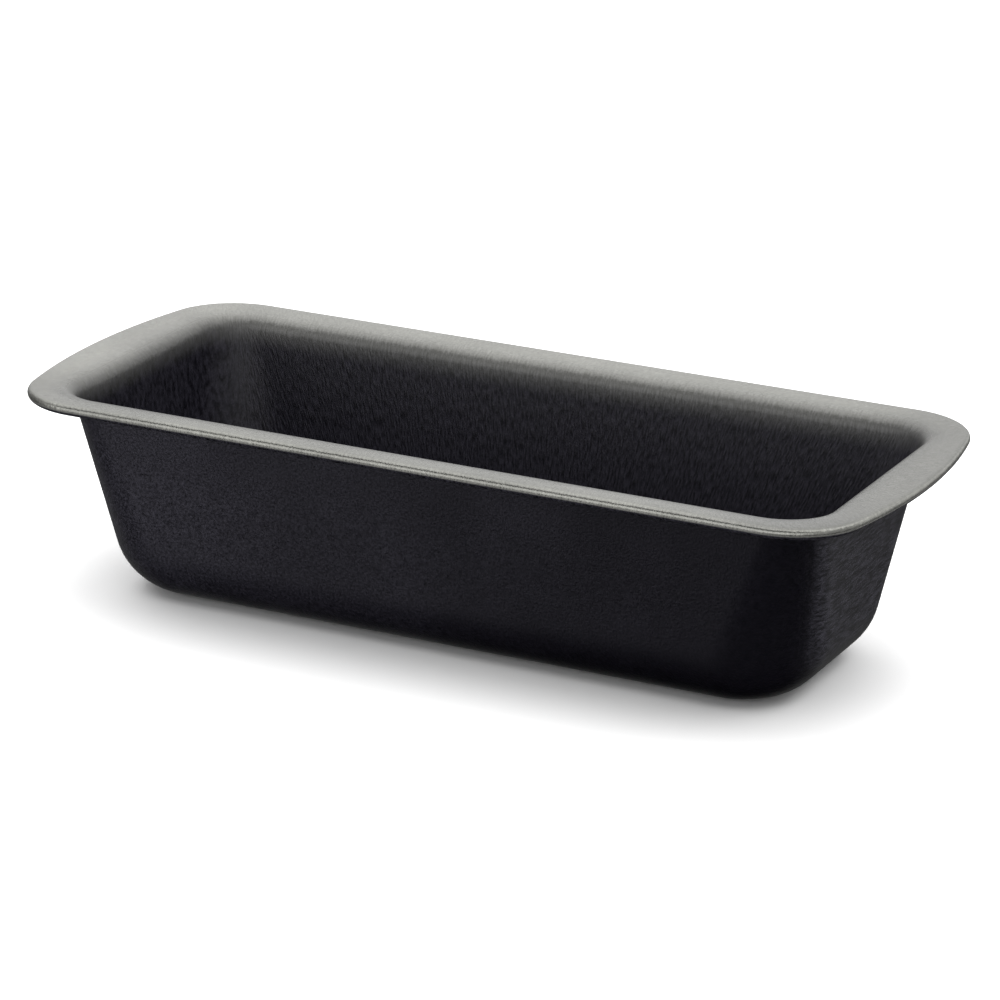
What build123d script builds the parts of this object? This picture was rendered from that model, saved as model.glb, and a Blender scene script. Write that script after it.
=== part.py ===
from build123d import *
import math
import os

# A loaf pan, in millimetres. The origin is under the middle of the base, X runs along the pan.

# Overall size, over the rolled edge
pan_length = 310.0
pan_width = 144.0
pan_height = 75.0

# Sheet and coatings, from the inside face outward
inside_coat = 0.2
steel = 0.6
outside_coat = 0.2
wall_thickness = inside_coat + steel + outside_coat

# Outline of the flange: straight long sides, ends bowed outward, rounded corners
end_bow_radius = 265.0
flange_corner_radius = 26.5
end_flange_width = 13.4
side_flange_width = 9.7

# Tub, measured on its inside face
mouth_radius = 6.0
end_draft = 6.5
side_draft = 8.0
corner_radius_at_mouth = 14.0
corner_radius_at_floor = 35.5
floor_radius = 23.0

# Rolled edge: the sheet curls down and under, round a wire
wire_radius = 1.1
steel_curl_radius = wire_radius + steel
bead_radius = steel_curl_radius + inside_coat
curl_start_angle = 90.0
curl_sweep = 250.0

half_length = pan_length / 2
half_width = pan_width / 2
bead_height = pan_height - bead_radius
above_pan = 5.0


def mouth_setback(draft):
    """Distance from the flange's inner edge to where the straight wall would meet the flange."""
    return mouth_radius * math.tan(math.radians(45 - draft / 2))


end_wall_at_top = half_length - end_flange_width - mouth_setback(end_draft)
side_wall_at_top = half_width - side_flange_width - mouth_setback(side_draft)


def flange_outline(inset):
    """The flange's edge as a closed wire, moved inward by inset and starting at the +X end."""
    bow = end_bow_radius - inset
    corner = flange_corner_radius - inset
    bow_centre_x = half_length - end_bow_radius
    corner_y = half_width - flange_corner_radius
    corner_x = bow_centre_x + math.sqrt((bow - corner) ** 2 - corner_y**2)
    join = math.degrees(math.atan2(corner_y, corner_x - bow_centre_x))
    side_y = half_width - inset
    right_upper = CenterArc((bow_centre_x, 0), bow, 0, join)
    top_right = CenterArc((corner_x, corner_y), corner, join, 90 - join)
    top = Line((corner_x, side_y), (-corner_x, side_y))
    top_left = CenterArc((-corner_x, corner_y), corner, 90, 90 - join)
    left = CenterArc((-bow_centre_x, 0), bow, 180 - join, 2 * join)
    bottom_left = CenterArc((-corner_x, -corner_y), corner, 180 + join, 90 - join)
    bottom = Line((-corner_x, -side_y), (corner_x, -side_y))
    bottom_right = CenterArc((corner_x, -corner_y), corner, 270, 90 - join)
    right_lower = CenterArc((bow_centre_x, 0), bow, 360 - join, join)
    return Wire(
        [right_upper, top_right, top, top_left, left, bottom_left, bottom, bottom_right, right_lower]
    )


def tub_section(depth, level):
    """Rounded rectangle of the tub at a height, grown by depth from the inside face."""
    drop = pan_height - level
    end_slope = math.radians(end_draft)
    side_slope = math.radians(side_draft)
    half_x = end_wall_at_top + depth / math.cos(end_slope) - drop * math.tan(end_slope)
    half_y = side_wall_at_top + depth / math.cos(side_slope) - drop * math.tan(side_slope)
    growth = corner_radius_at_floor - corner_radius_at_mouth
    radius = corner_radius_at_mouth + depth + growth * drop / pan_height
    return Pos(0, 0, level) * RectangleRounded(2 * half_x, 2 * half_y, radius)


def hollow(depth):
    """The space inside and above the sheet, grown by depth from the inside face."""
    floor_level = wall_thickness - depth
    rim_level = pan_height - depth
    tub = loft([tub_section(depth, floor_level), tub_section(depth, rim_level)], ruled=True)
    tub = fillet(tub.faces().sort_by(Axis.Z)[0].edges(), floor_radius + depth)
    slab_base = Pos(0, 0, rim_level) * Rectangle(pan_length + 20, pan_width + 20)
    space = tub + extrude(slab_base, depth + above_pan)
    slab_underside = space.faces().filter_by(Axis.Z).sort_by(Axis.Z)[-2]
    mouth = slab_underside.inner_wires()[0].edges()
    return fillet(mouth, mouth_radius - depth)


def sheet(inner_depth, outer_depth, edge_inset):
    """One layer of the pan, floor, walls and flange, between two depths."""
    layer = hollow(outer_depth) - hollow(inner_depth)
    trim = extrude(make_face(flange_outline(edge_inset).edges()), pan_height)
    return layer & trim


def swept_round_edge(profile):
    """A profile drawn about the bead's centre, swept once round the flange."""
    start = Plane((half_length - bead_radius, 0, bead_height), x_dir=(1, 0, 0), z_dir=(0, -1, 0))
    path = Pos(0, 0, bead_height) * flange_outline(bead_radius)
    return sweep(start * profile, path)


def curl(inner_radius, outer_radius):
    """A curled strip from the top of the bead, round its outside and back under the flange."""
    last_angle = curl_start_angle - curl_sweep
    outer = CenterArc((0, 0), outer_radius, last_angle, curl_sweep)
    inner = CenterArc((0, 0), inner_radius, last_angle, curl_sweep)
    tip = Line(outer @ 0, inner @ 0)
    root = Line(outer @ 1, inner @ 1)
    return swept_round_edge(make_face([outer, root, inner, tip]))


def pan_shell():
    """The drawn steel sheet with its curled edge."""
    return sheet(inside_coat, inside_coat + steel, bead_radius) + curl(wire_radius, steel_curl_radius)


def release_coating():
    """The coating on the sheet's upper face: inside, flange and the outside of the curl."""
    return sheet(0, inside_coat, bead_radius) + curl(steel_curl_radius, bead_radius)


def outside_coating():
    """The coating on the sheet's lower face, stopping where the curl comes back to the flange."""
    return sheet(inside_coat + steel, wall_thickness, 2 * bead_radius)


def rim_wire():
    """The wire that the edge is rolled round."""
    return swept_round_edge(Circle(wire_radius))


os.makedirs("parts", exist_ok=True)
export_step(pan_shell(), "parts/pan_shell.step")
export_step(release_coating(), "parts/release_coating.step")
export_step(outside_coating(), "parts/outside_coating.step")
export_step(rim_wire(), "parts/rim_wire.step")
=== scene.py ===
import bpy
import math
from mathutils import Matrix, Vector


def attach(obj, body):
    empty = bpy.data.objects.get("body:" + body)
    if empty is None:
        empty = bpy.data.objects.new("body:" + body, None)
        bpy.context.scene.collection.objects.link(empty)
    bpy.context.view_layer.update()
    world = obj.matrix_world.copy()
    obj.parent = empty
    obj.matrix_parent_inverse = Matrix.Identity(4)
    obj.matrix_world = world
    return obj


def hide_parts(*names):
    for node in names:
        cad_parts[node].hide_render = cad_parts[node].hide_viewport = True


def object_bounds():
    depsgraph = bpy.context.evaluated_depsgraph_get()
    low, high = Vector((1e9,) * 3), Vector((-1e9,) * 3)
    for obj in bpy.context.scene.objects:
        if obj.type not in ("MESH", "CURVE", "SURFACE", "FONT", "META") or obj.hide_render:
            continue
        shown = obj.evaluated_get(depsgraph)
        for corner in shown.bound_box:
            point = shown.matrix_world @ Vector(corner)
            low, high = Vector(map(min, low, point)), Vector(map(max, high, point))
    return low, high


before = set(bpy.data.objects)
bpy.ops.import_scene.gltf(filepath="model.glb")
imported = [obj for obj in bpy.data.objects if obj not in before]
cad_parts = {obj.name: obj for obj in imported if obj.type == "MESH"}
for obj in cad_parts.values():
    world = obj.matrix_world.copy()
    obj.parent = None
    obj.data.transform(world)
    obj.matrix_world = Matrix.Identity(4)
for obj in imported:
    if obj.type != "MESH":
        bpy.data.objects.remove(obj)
cad_low, cad_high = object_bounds()

# The pan in metres, as its solids have it. Depth is measured from the coated inside face outward.
MM = 0.001
HALF_LENGTH = cad_high.x
HALF_WIDTH = cad_high.y
HEIGHT = cad_high.z
INSIDE_COAT = 0.2 * MM
STEEL = 0.6 * MM
OUTSIDE_COAT = 0.2 * MM
STEEL_OUTSIDE = INSIDE_COAT + STEEL
WALL = STEEL_OUTSIDE + OUTSIDE_COAT

END_BOW_RADIUS = 265 * MM
FLANGE_CORNER_RADIUS = 26.5 * MM
END_FLANGE_WIDTH = 13.4 * MM
SIDE_FLANGE_WIDTH = 9.7 * MM

MOUTH_RADIUS = 6 * MM
END_SLOPE = math.tan(math.radians(6.5))
SIDE_SLOPE = math.tan(math.radians(8.0))
CORNER_AT_MOUTH = 14 * MM
CORNER_AT_FLOOR = 35.5 * MM
FLOOR_RADIUS = 23 * MM
FLANGE_DISH = 0.6 * MM

WIRE_RADIUS = 1.1 * MM
CURL_RADIUS = WIRE_RADIUS + STEEL
BEAD_RADIUS = CURL_RADIUS + INSIDE_COAT
BEAD_HEIGHT = HEIGHT - BEAD_RADIUS
CURL_SWEEP = math.radians(250)

# Mesh density. The shares say how far out each ring of the flat floor is.
FLOOR_SHARES = (0.08, 0.2, 0.35, 0.5, 0.65, 0.8, 0.92)
CORNER_STEPS = 24
SIDE_STEPS = 60
END_STEPS = 24
FLOOR_STEPS = 14
WALL_STEPS = 24
MOUTH_STEPS = 14
FLANGE_STEPS = 8
BEAD_STEPS = 22
BEAD_TOP = len(FLOOR_SHARES) + FLOOR_STEPS + WALL_STEPS + MOUTH_STEPS + FLANGE_STEPS

QUARTER = math.pi / 2


def mouth_setback(slope):
    """How far the flange's inner edge stands out from where the straight wall would meet the flange."""
    return MOUTH_RADIUS * math.tan((QUARTER - math.atan(slope)) / 2)


END_WALL = HALF_LENGTH - END_FLANGE_WIDTH - mouth_setback(END_SLOPE)
SIDE_WALL = HALF_WIDTH - SIDE_FLANGE_WIDTH - mouth_setback(SIDE_SLOPE)


# ---------- the way round the pan ----------


class Station:
    """A place on the way round: how far towards each corner's centre it is, and which way it faces."""

    def __init__(self, toward_x, toward_y, face_x, face_y):
        self.toward = (toward_x, toward_y)
        self.face = Vector((face_x, face_y))


def corner_stations(sign_x, sign_y, backwards):
    turns = [QUARTER * i / CORNER_STEPS for i in range(CORNER_STEPS + 1)]
    if backwards:
        turns.reverse()
    return [Station(sign_x, sign_y, sign_x * math.cos(t), sign_y * math.sin(t)) for t in turns]


def straight_shares(steps):
    return [1 - 2 * i / steps for i in range(1, steps)]


def way_round():
    """Stations anticlockwise from above, starting at the corner between +X and +Y."""
    stations = corner_stations(1, 1, False)
    stations += [Station(share, 1, 0, 1) for share in straight_shares(SIDE_STEPS)]
    stations += corner_stations(-1, 1, True)
    stations += [Station(-1, share, -1, 0) for share in straight_shares(END_STEPS)]
    stations += corner_stations(-1, -1, False)
    stations += [Station(-share, -1, 0, -1) for share in straight_shares(SIDE_STEPS)]
    stations += corner_stations(1, -1, True)
    stations += [Station(1, -share, 1, 0) for share in straight_shares(END_STEPS)]
    return stations


STATIONS = way_round()


def wall_lean(station):
    """The wall's angle from upright where it faces the station's way."""
    radius_slope = (CORNER_AT_MOUTH - CORNER_AT_FLOOR) / HEIGHT
    along_x = (END_SLOPE - radius_slope) * abs(station.face.x)
    along_y = (SIDE_SLOPE - radius_slope) * abs(station.face.y)
    return math.atan(along_x + along_y + radius_slope)


def wall_point(station, depth, level):
    """Where the wall stands at a height, grown by depth from the inside face."""
    drop = HEIGHT - level
    half_x = END_WALL + depth * math.hypot(1, END_SLOPE) - drop * END_SLOPE
    half_y = SIDE_WALL + depth * math.hypot(1, SIDE_SLOPE) - drop * SIDE_SLOPE
    radius = CORNER_AT_MOUTH + depth + (CORNER_AT_FLOOR - CORNER_AT_MOUTH) * drop / HEIGHT
    centre = Vector((station.toward[0] * (half_x - radius), station.toward[1] * (half_y - radius)))
    return centre + radius * station.face


def flange_point(station, inset):
    """The flange's edge moved inward by inset, and which way the edge faces there."""
    bow_centre = HALF_LENGTH - END_BOW_RADIUS
    corner_y = HALF_WIDTH - FLANGE_CORNER_RADIUS
    spread = END_BOW_RADIUS - FLANGE_CORNER_RADIUS
    corner_x = bow_centre + math.sqrt(spread**2 - corner_y**2)
    join = math.atan2(corner_y, corner_x - bow_centre)
    toward_x, toward_y = station.toward
    if abs(toward_y) < 1:
        angle = join * toward_y
        face = Vector((toward_x * math.cos(angle), math.sin(angle)))
        centre = Vector((toward_x * bow_centre, 0))
        return centre + (END_BOW_RADIUS - inset) * face, face
    turn = math.atan2(abs(station.face.y), abs(station.face.x))
    angle = join + (QUARTER - join) * turn / QUARTER
    sign_x = math.copysign(1, station.face.x) if abs(station.face.x) > 1e-9 else toward_x
    face = Vector((sign_x * math.cos(angle), toward_y * math.sin(angle)))
    if abs(toward_x) < 1:
        face = Vector((0, toward_y))
    centre = Vector((toward_x * corner_x, toward_y * corner_y))
    return centre + (FLANGE_CORNER_RADIUS - inset) * face, face


# ---------- rings up the pan, each one point per station ----------


def at_height(plan, level):
    return Vector((plan.x, plan.y, level))


def floor_foot(station, depth):
    """Where the floor ends and its radius begins."""
    lean = wall_lean(station)
    radius = FLOOR_RADIUS + depth
    meets_wall = WALL - depth + radius * (1 - math.sin(lean))
    return wall_point(station, depth, meets_wall) - radius * math.cos(lean) * station.face


def floor_rings(depth):
    level = WALL - depth
    return [[at_height(floor_foot(s, depth) * share, level) for s in STATIONS] for share in FLOOR_SHARES]


def floor_radius_rings(depth):
    radius = FLOOR_RADIUS + depth
    level = WALL - depth
    rings = []
    for i in range(FLOOR_STEPS + 1):
        ring = []
        for s in STATIONS:
            angle = (QUARTER - wall_lean(s)) * i / FLOOR_STEPS
            plan = floor_foot(s, depth) + radius * math.sin(angle) * s.face
            ring.append(at_height(plan, level + radius * (1 - math.cos(angle))))
        rings.append(ring)
    return rings


def mouth_start(station):
    """The height where the wall ends and the mouth's radius begins."""
    return HEIGHT - FLANGE_DISH - MOUTH_RADIUS * (1 - math.sin(wall_lean(station)))


def mouth_centre(station):
    """The middle of the mouth's radius, in plan."""
    reach = MOUTH_RADIUS * math.cos(wall_lean(station))
    return wall_point(station, 0, mouth_start(station)) + reach * station.face


def dish_slope(station):
    """How steeply the flange falls where it meets the mouth. It is level at the bead."""
    width = (flange_point(station, BEAD_RADIUS)[0] - mouth_centre(station)).length
    return 2 * FLANGE_DISH / width


def wall_rings(depth):
    radius = FLOOR_RADIUS + depth
    rings = []
    for i in range(1, WALL_STEPS):
        ring = []
        for s in STATIONS:
            low = WALL - depth + radius * (1 - math.sin(wall_lean(s)))
            level = low + (mouth_start(s) - low) * i / WALL_STEPS
            ring.append(at_height(wall_point(s, depth, level), level))
        rings.append(ring)
    return rings


def mouth_rings(depth):
    radius = MOUTH_RADIUS - depth
    middle = HEIGHT - FLANGE_DISH - MOUTH_RADIUS
    rings = []
    for i in range(MOUTH_STEPS + 1):
        ring = []
        for s in STATIONS:
            lean = wall_lean(s)
            angle = lean + (QUARTER - dish_slope(s) - lean) * i / MOUTH_STEPS
            plan = mouth_centre(s) - radius * math.cos(angle) * s.face
            ring.append(at_height(plan, middle + radius * math.sin(angle)))
        rings.append(ring)
    return rings


def flange_rings(depth, inset):
    inner = mouth_rings(depth)[-1]
    rings = []
    for i in range(1, FLANGE_STEPS + 1):
        ring = []
        for s, start in zip(STATIONS, inner):
            across = flange_point(s, inset)[0] - start.xy
            width = (flange_point(s, BEAD_RADIUS)[0] - start.xy).length
            left = 1 - across.length * i / FLANGE_STEPS / width
            level = HEIGHT - depth - (HEIGHT - depth - start.z) * left**2
            ring.append(at_height(start.xy + across * i / FLANGE_STEPS, level))
        rings.append(ring)
    return rings


def sheet_rings(depth, inset):
    """One face of the sheet, from near the middle of the floor to the flange's edge."""
    rings = floor_rings(depth) + floor_radius_rings(depth) + wall_rings(depth)
    return rings + mouth_rings(depth) + flange_rings(depth, inset)


def bead_rings(radius, sweep, steps):
    """Rings round the bead's section from its top, over the outside and under."""
    rings = []
    for i in range(steps + 1):
        angle = QUARTER - sweep * i / steps
        ring = []
        for s in STATIONS:
            middle, face = flange_point(s, BEAD_RADIUS)
            plan = middle + radius * math.cos(angle) * face
            ring.append(at_height(plan, BEAD_HEIGHT + radius * math.sin(angle)))
        rings.append(ring)
    return rings


# ---------- meshes ----------


def lengths_round():
    """How far round the flange's edge each station is, and the whole way round."""
    edge = [flange_point(s, 0)[0] for s in STATIONS]
    lengths = [0.0]
    for a, b in zip(edge, edge[1:] + edge[:1]):
        lengths.append(lengths[-1] + (b - a).length)
    return lengths


def lengths_up(rings):
    """How far each ring is along a long side's section, from the bead's top outward."""
    middle = CORNER_STEPS + SIDE_STEPS // 2
    lengths = [0.0]
    for a, b in zip(rings, rings[1:]):
        lengths.append(lengths[-1] + (b[middle] - a[middle]).length)
    return [length - lengths[BEAD_TOP] for length in lengths]


def unroll(mesh, rings):
    """Gives the faces a UV map in metres, of the lengths round the pan and along its section."""
    count = len(STATIONS)
    across = lengths_round()
    along = lengths_up(rings)
    layer = mesh.uv_layers.new(name="unrolled")
    for face in mesh.polygons:
        last_column = face.index % count == count - 1
        for loop in face.loop_indices:
            ring, station = divmod(mesh.loops[loop].vertex_index, count)
            if last_column and station == 0:
                station = count
            layer.data[loop].uv = (across[station], along[ring])


def skin(name, rings, closed):
    """A mesh through the rings. Closed joins the last to the first; otherwise both ends are capped."""
    count = len(STATIONS)
    points = [p for ring in rings for p in ring]
    faces = []
    pairs = list(zip(range(len(rings) - 1), range(1, len(rings))))
    if closed:
        pairs.append((len(rings) - 1, 0))
    for low, high in pairs:
        for i in range(count):
            j = (i + 1) % count
            faces.append((low * count + i, low * count + j, high * count + j, high * count + i))
    if not closed:
        last = (len(rings) - 1) * count
        faces.append(tuple(range(count - 1, -1, -1)))
        faces.append(tuple(last + i for i in range(count)))
    mesh = bpy.data.meshes.new(name)
    mesh.from_pydata([tuple(p) for p in points], [], faces)
    mesh.update()
    mesh.shade_smooth()
    piece = bpy.data.objects.new(name, mesh)
    bpy.context.scene.collection.objects.link(piece)
    return piece


def release_skin():
    rings = sheet_rings(0, BEAD_RADIUS) + bead_rings(BEAD_RADIUS, CURL_SWEEP, BEAD_STEPS)[1:]
    rings += bead_rings(CURL_RADIUS, CURL_SWEEP, BEAD_STEPS)[::-1][:-1]
    rings += sheet_rings(INSIDE_COAT, BEAD_RADIUS)[::-1]
    piece = skin("release_skin", rings, False)
    unroll(piece.data, rings)
    return piece


def steel_sheet():
    rings = sheet_rings(INSIDE_COAT, BEAD_RADIUS)
    rings += bead_rings(CURL_RADIUS, CURL_SWEEP, BEAD_STEPS)[1:]
    rings += bead_rings(WIRE_RADIUS, CURL_SWEEP, BEAD_STEPS)[::-1][:-1]
    rings += sheet_rings(STEEL_OUTSIDE, BEAD_RADIUS)[::-1]
    return skin("steel_sheet", rings, False)


def outside_skin():
    rings = sheet_rings(STEEL_OUTSIDE, 2 * BEAD_RADIUS)
    rings += sheet_rings(WALL, 2 * BEAD_RADIUS)[::-1]
    return skin("outside_skin", rings, False)


def edge_wire():
    full_turn = 4 * QUARTER
    rings = bead_rings(WIRE_RADIUS, full_turn, BEAD_STEPS)[:-1]
    return skin("edge_wire", rings, True)


def add_piece(piece, node, material):
    """Puts a piece in place of its CAD node."""
    piece.data.materials.append(material)
    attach(piece, "pan")
    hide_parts(node)


# ---------- materials ----------


class Nodes:
    """Adds shader nodes to one tree and links them."""

    def __init__(self, tree):
        self.tree = tree

    def feed(self, socket, value):
        """Links another node's output to a socket, or sets the socket to a number or a colour."""
        if isinstance(value, (int, float, tuple)):
            socket.default_value = value
        else:
            self.tree.links.new(value, socket)

    def add(self, kind, inputs, **settings):
        """A new node with its settings and its named or numbered inputs."""
        node = self.tree.nodes.new(kind)
        for key, value in settings.items():
            setattr(node, key, value)
        for key, value in inputs.items():
            self.feed(node.inputs[key], value)
        return node

    def coordinates(self, name):
        return self.add("ShaderNodeTexCoord", {}).outputs[name]

    def axes(self, vector):
        return self.add("ShaderNodeSeparateXYZ", {0: vector}).outputs

    def math(self, operation, *values):
        return self.add("ShaderNodeMath", dict(enumerate(values)), operation=operation).outputs[0]

    def ramp(self, value, low, high, to_low=0.0, to_high=1.0, kind="SMOOTHSTEP"):
        """Runs from to_low at low to to_high at high, and stays level outside them."""
        inputs = {"Value": value, "From Min": low, "From Max": high, "To Min": to_low, "To Max": to_high}
        return self.add("ShaderNodeMapRange", inputs, interpolation_type=kind).outputs["Result"]

    def mix(self, share, first, second, kind="RGBA"):
        inputs = {"Factor": share, "A": first, "B": second}
        return self.add("ShaderNodeMix", inputs, data_type=kind).outputs["Result"]

    def stretched(self, vector, scale):
        return self.add("ShaderNodeMapping", {"Vector": vector, "Scale": scale}).outputs["Vector"]

    def noise(self, vector, scale, detail=3.0, roughness=0.55):
        inputs = {"Vector": vector, "Scale": scale, "Detail": detail, "Roughness": roughness}
        return self.add("ShaderNodeTexNoise", inputs).outputs["Fac"]

    def bump(self, height, distance, over=None):
        """The normal with a relief on it, on the plain surface or over another bump."""
        inputs = {"Height": height, "Distance": distance, "Strength": 1.0}
        if over is not None:
            inputs["Normal"] = over
        return self.add("ShaderNodeBump", inputs).outputs["Normal"]


class MaterialNodes(Nodes):
    """The nodes of one new material."""

    def __init__(self, name):
        self.material = bpy.data.materials.new(name)
        self.material.use_nodes = True
        super().__init__(self.material.node_tree)

    def shade(self, name, value):
        self.feed(self.tree.nodes["Principled BSDF"].inputs[name], value)


NEAR_BLACK = (0.0014, 0.0012, 0.0026, 1)
SOFT_BLACK = (0.0250, 0.0238, 0.0315, 1)
INSIDE_BLACK = (0.0195, 0.0184, 0.0252, 1)
# Grey of the mouth, flange and bead: partly the coating's own colour, partly a painted reflection
SHEEN_GREY = (0.350, 0.350, 0.322, 1)
COOL_TINT = (0.90, 0.88, 1.0, 1)
DULL_STEEL = (0.40, 0.40, 0.41, 1)
BRIGHT_STEEL = (0.52, 0.52, 0.53, 1)
FLOOR_WHITE = (0.86, 0.86, 0.86, 1)

FINE_RELIEF = 0.04 * MM
INSIDE_RELIEF = 0.25 * MM
OUTSIDE_RELIEF = 0.22 * MM

# Lengths along the section from the bead's top, negative towards the inside
SHEEN_STARTS = -22.6 * MM
SHEEN_FULL = -4.6 * MM
# Where the painted shade along the front flange's inner edge is fullest and where it is gone
FRONT_EDGE_SHADE_FULL = -8 * MM
FRONT_EDGE_SHADE_GONE = -2 * MM
BEAD_QUARTER = BEAD_RADIUS * QUARTER
RAGGED_REACH = 1.6 * MM

# Distances in from the flange's edge, which place the painted shade at the front and at the +X end
FRONT_RIM_ENDS = 12 * MM
FRONT_RIM_GONE = 22 * MM
FRONT_SHADE_GONE = 42 * MM
END_SHADE_FULL = 10 * MM
END_SHADE_GONE = 60 * MM

# How far the mottle moves the edge of the painted light on the outside coating
MOTTLE_SHIFT = 60 * MM


def wall_facing_x(n, low, high):
    """1 on the end walls, 0 on the side walls, and in between round the corners."""
    facing = n.axes(n.coordinates("Normal"))
    return n.ramp(n.math("ABSOLUTE", facing["X"]), low, high)


def sheen_share(n, up, y, streaks):
    """0 on the black inside and under the bead, 1 on the flange, less along its inner edge at the front.
    The black under the bead and the lower share at the front inner edge are painted shade.
    """
    ragged = n.math("MULTIPLY_ADD", n.math("SUBTRACT", streaks, 0.5), RAGGED_REACH, up)
    # The grey fading in over the mouth onto the flange is partly a painted reflection
    onto_flange = n.math("POWER", n.ramp(ragged, SHEEN_STARTS, SHEEN_FULL, kind="LINEAR"), 1.5)
    # Painted shade: the bead's underside goes black
    painted_shade_under_bead = n.ramp(up, 0.95 * BEAD_QUARTER, 1.25 * BEAD_QUARTER, 1, 0)
    sheen = n.math("MULTIPLY", onto_flange, painted_shade_under_bead)
    # Painted shade along the front flange's inner edge
    front = n.ramp(y, FRONT_RIM_ENDS - HALF_WIDTH, FRONT_RIM_GONE - HALF_WIDTH, 1, 0)
    front_edge_painted_shade = n.math("MULTIPLY", front, n.ramp(up, FRONT_EDGE_SHADE_FULL, FRONT_EDGE_SHADE_GONE, 0.4, 0))
    return n.math("MULTIPLY", sheen, n.math("SUBTRACT", 1, front_edge_painted_shade))


def sheen_grain_and_painted_shade(n, up, x, y, textures):
    """Near 1, with streaks, clouds and grain, and lower on the flange at the front and the +X end, where it
    is painted shade.
    """
    streaks, cloud, grain = textures
    uneven = n.math("MULTIPLY", n.ramp(streaks, 0.3, 0.7, 0.86, 1.0), n.ramp(cloud, 0.35, 0.65, 0.88, 1.0))
    uneven = n.math("MULTIPLY", uneven, n.ramp(grain, 0.3, 0.7, 0.84, 1.0))
    # Painted shade on the flange at the +X end and along the front
    end_painted_shade = n.ramp(x, HALF_LENGTH - END_SHADE_GONE, HALF_LENGTH - END_SHADE_FULL, 1.0, 0.68)
    front_painted_shade = n.ramp(y, FRONT_RIM_ENDS - HALF_WIDTH, FRONT_SHADE_GONE - HALF_WIDTH, 0.78, 1.0)
    onto_bead = n.ramp(up, 0, 0.6 * BEAD_QUARTER)
    painted_shade = n.math("MAXIMUM", n.math("MULTIPLY", end_painted_shade, front_painted_shade), onto_bead)
    return n.math("MULTIPLY", uneven, painted_shade)


def release_material():
    """Near-black satin inside, turning to a silver-grey sheen over the mouth, the flange and the bead. The
    grey is partly the coating's own colour and partly painted reflection.
    """
    n = MaterialNodes("release_coat")
    place = n.coordinates("Object")
    x, y, z = n.axes(place)
    unrolled = n.add("ShaderNodeUVMap", {}, uv_map="unrolled").outputs["UV"]
    up = n.axes(unrolled)["Y"]
    streaks = n.noise(n.stretched(unrolled, (1, 0.2, 1)), scale=1400, detail=2)
    leather = n.noise(n.stretched(place, (1, 0.8, 0.4)), scale=700, roughness=0.6)
    grain = n.noise(place, scale=1500, detail=2)
    cloud = n.noise(place, scale=25, detail=2)

    near_floor = n.ramp(z, 0.2 * FLOOR_RADIUS, 0.7 * FLOOR_RADIUS, 1, 0)
    leathery = n.math("MAXIMUM", wall_facing_x(n, 0.35, 0.8), near_floor)
    relief = n.mix(leathery, streaks, leather, "FLOAT")
    black = n.mix(n.ramp(relief, 0.27, 0.73), NEAR_BLACK, INSIDE_BLACK)
    sheen = sheen_share(n, up, y, streaks)
    grain_and_painted_shade = sheen_grain_and_painted_shade(n, up, x, y, (streaks, cloud, grain))

    # Base colour: black inside, grey on the flange that is partly painted reflection, with painted shade
    # under the bead and on the flange
    n.shade("Base Color", n.mix(n.math("MULTIPLY", sheen, grain_and_painted_shade), black, SHEEN_GREY))
    n.shade("Metallic", n.math("MULTIPLY", sheen, 0.9))
    n.shade("Roughness", n.ramp(sheen, 0.0, 0.6, 0.38, 0.27))
    n.shade("Specular IOR Level", 0.3)
    n.shade("Normal", n.bump(relief, INSIDE_RELIEF, n.bump(grain, FINE_RELIEF)))
    return n.material


def outside_material():
    """Near-black satin, a little lighter towards -X as painted light, with a leathery grain and ripples on
    the end walls.
    """
    n = MaterialNodes("outside_coat")
    place = n.coordinates("Object")
    mottle = n.ramp(n.noise(place, scale=28, detail=4), 0.3, 0.7)
    ripples = n.noise(n.stretched(place, (1, 0.14, 1)), scale=1150, roughness=0.6)
    grain = n.noise(place, scale=1500, detail=2)

    # Painted light: the outside coating grows lighter towards -X, its edge moved about by the mottle
    along = n.math("MULTIPLY_ADD", mottle, MOTTLE_SHIFT, n.axes(place)["X"])
    painted_light_towards_minus_x = n.ramp(along, -HALF_LENGTH, HALF_LENGTH, 1.0, 0.15)
    end_wall = wall_facing_x(n, 0.8, 0.98)
    rippled = n.mix(end_wall, n.ramp(ripples, 0.2, 0.8), n.ramp(ripples, 0.33, 0.67), "FLOAT")
    ripples_and_painted_light = n.math("MULTIPLY", n.math("MAXIMUM", painted_light_towards_minus_x, end_wall), rippled)

    n.shade("Base Color", n.mix(ripples_and_painted_light, NEAR_BLACK, SOFT_BLACK))
    n.shade("Roughness", n.ramp(mottle, 0.0, 1.0, 0.30, 0.36))
    n.shade("Specular IOR Level", 0.28)
    n.shade("Specular Tint", COOL_TINT)
    n.shade("Normal", n.bump(ripples, OUTSIDE_RELIEF, n.bump(grain, FINE_RELIEF)))
    return n.material


def steel_material(name, roughness):
    """Bare steel with a drawn grain."""
    n = MaterialNodes(name)
    grain = n.noise(n.stretched(n.coordinates("Object"), (0.05, 1, 1)), scale=1500, detail=2)
    n.shade("Base Color", n.mix(grain, DULL_STEEL, BRIGHT_STEEL))
    n.shade("Metallic", 1.0)
    n.shade("Roughness", n.ramp(grain, 0.3, 0.7, roughness, roughness + 0.1))
    return n.material


def floor_material():
    n = MaterialNodes("floor")
    n.shade("Base Color", FLOOR_WHITE)
    n.shade("Roughness", 0.9)
    n.shade("Specular IOR Level", 0.1)
    return n.material


# ---------- floor, light and camera ----------

FLOOR_REACH = 6.0
LAMP_HEIGHT = 2.5
LAMP_SIZE = 5.0
LAMP_WATTS = 150

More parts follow.
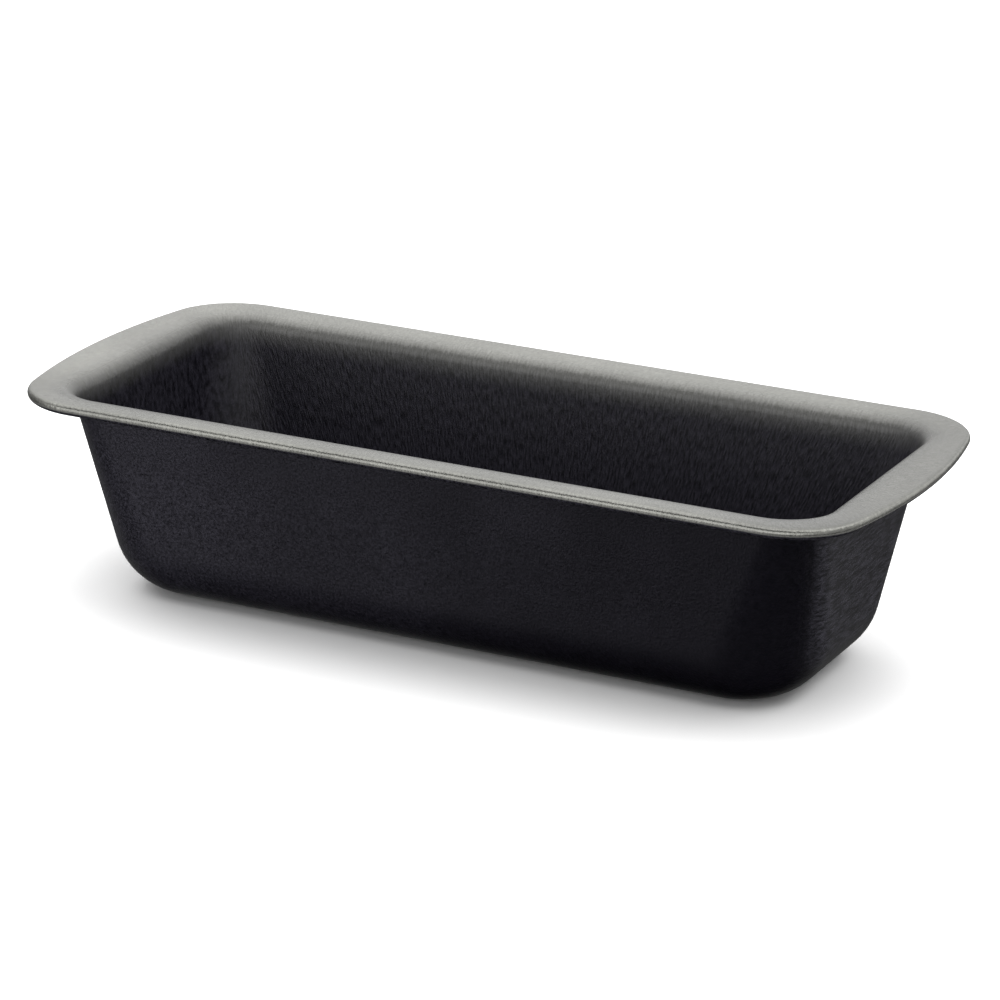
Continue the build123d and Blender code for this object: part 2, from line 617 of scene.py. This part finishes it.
CAMERA_AZIMUTH = math.radians(25.03)
CAMERA_ELEVATION = math.radians(18.5)
CAMERA_ROLL = math.radians(1.65)
CAMERA_DISTANCE = 1.489
CAMERA_LENS = 158.6
CAMERA_SHIFT = (0.0074, 0.0131)


def add_floor():
    """A white floor that doesn't show in glossy surfaces."""
    corners = [(FLOOR_REACH * x, FLOOR_REACH * y, 0) for x, y in ((-1, -1), (1, -1), (1, 1), (-1, 1))]
    mesh = bpy.data.meshes.new("floor")
    mesh.from_pydata(corners, [], [(0, 1, 2, 3)])
    mesh.materials.append(floor_material())
    floor = bpy.data.objects.new("floor", mesh)
    bpy.context.scene.collection.objects.link(floor)
    floor.visible_glossy = False


def add_lamp():
    """A broad soft light overhead, shining straight down, that doesn't show in glossy surfaces."""
    light = bpy.data.lights.new("top", "AREA")
    light.shape = "SQUARE"
    light.size = LAMP_SIZE
    light.energy = LAMP_WATTS
    lamp = bpy.data.objects.new("top", light)
    lamp.location = (0, 0, LAMP_HEIGHT)
    lamp.visible_camera = False
    lamp.visible_glossy = False
    bpy.context.scene.collection.objects.link(lamp)


def add_world():
    """A white studio with a dark belt above the front, dim sides and a low glow from the front left."""
    world = bpy.data.worlds.new("world")
    world.use_nodes = True
    n = Nodes(world.node_tree)
    # The direction looked in, as a unit vector: -y is the front and z is overhead.
    x, y, z = n.axes(n.coordinates("Generated"))

    belt = n.math("MULTIPLY", n.ramp(z, 0.45, 0.62), n.ramp(z, 0.85, 0.99, 1, 0))
    belt = n.math("MULTIPLY", belt, n.ramp(y, -0.4, -0.15, 1, 0))
    sides = n.math("MAXIMUM", n.ramp(x, -0.95, -0.7, 0.85, 0), n.ramp(x, 0.55, 0.85, 0, 0.6))
    dark = n.math("MAXIMUM", belt, sides)
    low_sky = n.ramp(y, -0.6, -0.3, 1.6, 1.05)
    above = n.math("MULTIPLY", n.ramp(z, 0.35, 0.8, low_sky, 1.9), n.math("SUBTRACT", 1, dark))

    front_left = n.math("MULTIPLY", n.ramp(x, -0.5, -0.26, 1, 0), n.ramp(y, -0.75, -0.45, 1, 0))
    beneath = n.math("MAXIMUM", front_left, n.ramp(y, -0.1, 0.5, 0, 0.14))
    beneath = n.math("MULTIPLY", beneath, n.ramp(z, -0.8, -0.6))

    background = n.tree.nodes["Background"]
    n.feed(background.inputs["Color"], (1, 1, 1, 1))
    n.feed(background.inputs["Strength"], n.ramp(z, -0.12, 0.05, beneath, above))
    bpy.context.scene.world = world


def add_camera():
    """Turned round from the front, raised and rolled, looking at the pan's middle."""
    middle = Vector((0, 0, HEIGHT / 2))
    flat = CAMERA_DISTANCE * math.cos(CAMERA_ELEVATION)
    up = CAMERA_DISTANCE * math.sin(CAMERA_ELEVATION)
    away = Vector((flat * math.sin(CAMERA_AZIMUTH), -flat * math.cos(CAMERA_AZIMUTH), up))
    data = bpy.data.cameras.new("camera")
    data.lens = CAMERA_LENS
    data.sensor_width = 36
    data.shift_x, data.shift_y = CAMERA_SHIFT
    data.clip_end = 50
    camera = bpy.data.objects.new("camera", data)
    camera.location = middle + away
    level = (-away).to_track_quat("-Z", "Y").to_matrix()
    camera.rotation_euler = (level @ Matrix.Rotation(CAMERA_ROLL, 3, "Z")).to_euler()
    bpy.context.scene.collection.objects.link(camera)
    bpy.context.scene.camera = camera


add_piece(release_skin(), "release_coating", release_material())
add_piece(outside_skin(), "outside_coating", outside_material())
add_piece(steel_sheet(), "pan_shell", steel_material("sheet_steel", 0.3))
add_piece(edge_wire(), "rim_wire", steel_material("rim_wire_steel", 0.25))

add_floor()
add_world()
add_lamp()
add_camera()
bpy.context.scene.view_settings.view_transform = "Standard"
